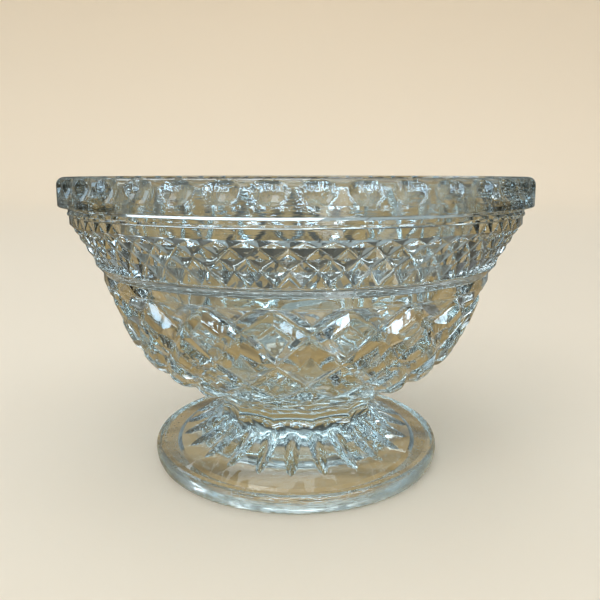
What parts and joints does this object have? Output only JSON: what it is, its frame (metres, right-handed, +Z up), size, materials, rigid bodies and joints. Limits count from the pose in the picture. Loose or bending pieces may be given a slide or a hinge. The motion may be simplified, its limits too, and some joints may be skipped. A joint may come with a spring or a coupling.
{
  "type": "footed glass candy bowl",
  "caption": "Footed bowl of clear pressed glass for sweets, with a thick thumbprinted collar, bands of small and large diamonds, and a ribbed round foot.",
  "frame": {"origin": "centre of the circle on which the foot stands, on the table", "axes": "+Z up along the axis of the bowl, out of its mouth; -Y towards the viewer"},
  "size_m": [0.141, 0.141, 0.0896],
  "materials": {
    "clear_glass": "fire-polished pressed glass, clear with a faint grey-green cast in thick glass"
  },
  "bodies": {
    "root": {"bowl": "clear_glass", "foot": "clear_glass"}
  },
  "joints": []
}
